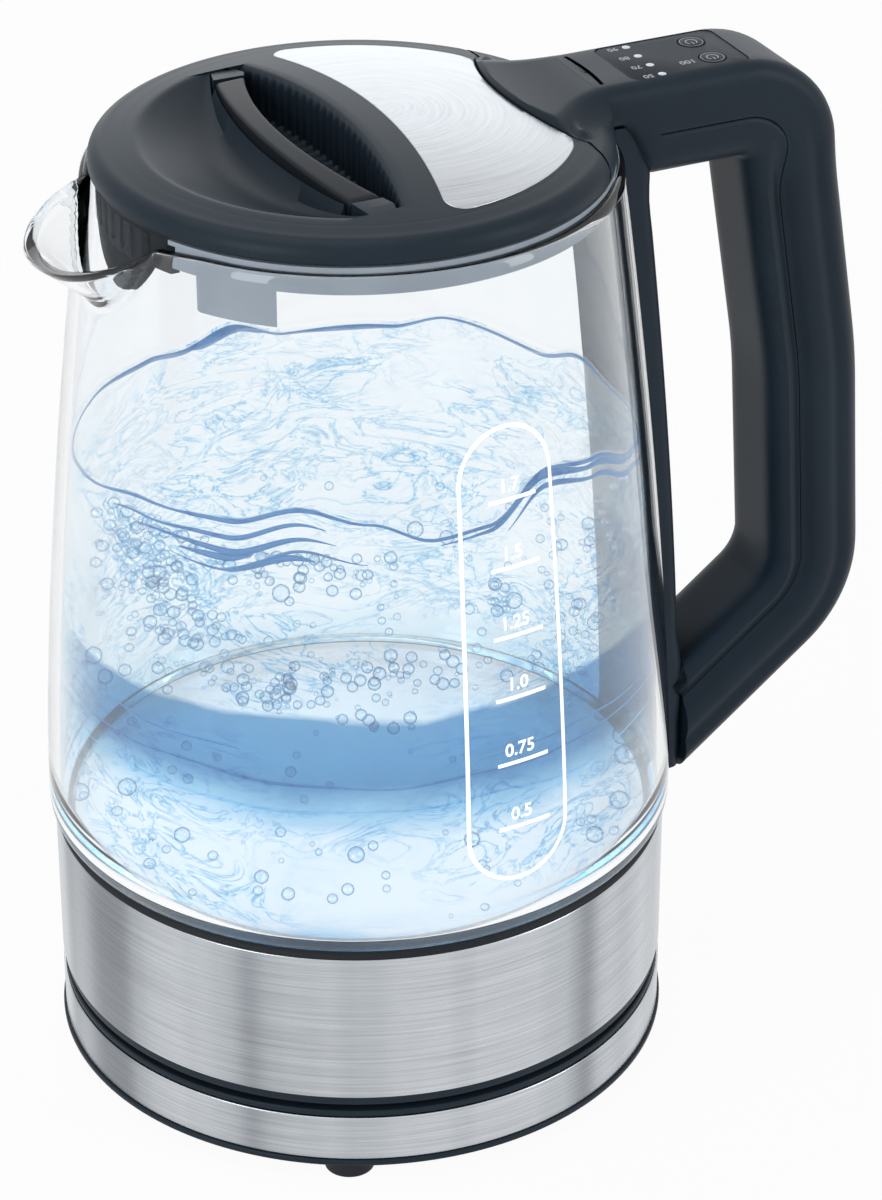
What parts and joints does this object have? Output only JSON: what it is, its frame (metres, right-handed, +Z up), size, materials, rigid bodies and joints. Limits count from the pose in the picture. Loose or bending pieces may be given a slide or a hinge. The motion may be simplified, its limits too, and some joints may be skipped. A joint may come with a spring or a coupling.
{
  "type": "electric kettle",
  "caption": "Cordless glass electric kettle: clear tapered jug on a brushed steel band, hinged domed lid with a steel plate and grip slot, loop handle with buttons, round power base",
  "frame": {"origin": "on the jug's upright axis, at the plane the feet stand on", "axes": "+X towards the handle, -X towards the spout, +Z up"},
  "size_m": [0.2134, 0.1526, 0.243],
  "materials": {
    "slate_plastic": "satin moulded",
    "dark_plastic": "fine matt",
    "grey_plastic": "translucent grey",
    "ivory_plastic": "moulded",
    "brushed_steel": "brushed",
    "plain_steel": "bright",
    "brass": "plain",
    "clear_glass": "polished clear",
    "clear_light": "clear",
    "rubber": "matt",
    "silicone": "silicone",
    "aluminium": "cast",
    "board": "laminate",
    "relay_case": "moulded",
    "wire": "insulated"
  },
  "bodies": {
    "base": {"base_lower_cover": "slate_plastic", "base_upper_cover": "slate_plastic", "base_trim": "brushed_steel", "base_feet": "rubber", "base_connector": "dark_plastic", "base_contacts": "brass", "base_terminal_board": "board", "base_relay": "relay_case", "base_screws": "plain_steel", "cord_inlet": "dark_plastic"},
    "coupler": {"coupler_socket": "ivory_plastic", "coupler_contacts": "brass"},
    "jug": {"jug_base_cover": "slate_plastic", "steel_band": "brushed_steel", "glass_gasket": "rubber", "glass_body": "clear_glass", "heating_plate": "brushed_steel", "plate_seal": "silicone", "heat_diffuser": "aluminium", "heating_element": "aluminium", "thermal_cutout": "ivory_plastic", "water_sensor": "plain_steel", "jug_base_screws": "plain_steel", "collar_ring": "grey_plastic", "hinge_housing": "slate_plastic", "hinge_pin": "plain_steel", "handle_shell": "slate_plastic", "handle_inner_cover": "slate_plastic", "handle_mount_strip": "dark_plastic", "control_panel": "dark_plastic", "control_board": "board", "panel_lights": "clear_light", "button_switches": "ivory_plastic", "handle_screws": "plain_steel", "wire_harness": "wire", "filter_frame": "dark_plastic", "filter_mesh": "plain_steel"},
    "lid": {"lid_top": "slate_plastic", "lid_steel_plate": "brushed_steel", "lid_inner_plate": "grey_plastic", "lid_seal": "silicone", "lid_screws": "plain_steel", "latch_springs": "plain_steel"},
    "trigger": {"latch_trigger": "slate_plastic"},
    "power_button": {"power_button": "slate_plastic"},
    "boil_button": {"boil_button": "slate_plastic"}
  },
  "joints": [
    {"name": "jug_lift", "type": "slide", "parent": "base", "child": "coupler", "axis": [0, 0, 1], "range_m": [0, 0.1]},
    {"name": "jug_spin", "type": "hinge", "parent": "coupler", "child": "jug", "pos_m": [0, 0, 0], "axis": [0, 0, 1], "continuous": true},
    {"name": "lid_hinge", "type": "hinge", "parent": "jug", "child": "lid", "pos_m": [0.046, 0, 0.238], "axis": [0, 1, 0], "range_deg": [0, 70]},
    {"name": "latch_pull", "type": "slide", "parent": "lid", "child": "trigger", "axis": [1, 0, 0], "range_m": [0, 0.003], "stiffness_N_per_m": 400, "deforming": ["latch_springs"]},
    {"name": "power_press", "type": "slide", "parent": "jug", "child": "power_button", "axis": [0, 0, -1], "range_m": [0, 0.0005], "stiffness_N_per_m": 800},
    {"name": "boil_press", "type": "slide", "parent": "jug", "child": "boil_button", "axis": [0, 0, -1], "range_m": [0, 0.0005], "stiffness_N_per_m": 800}
  ]
}
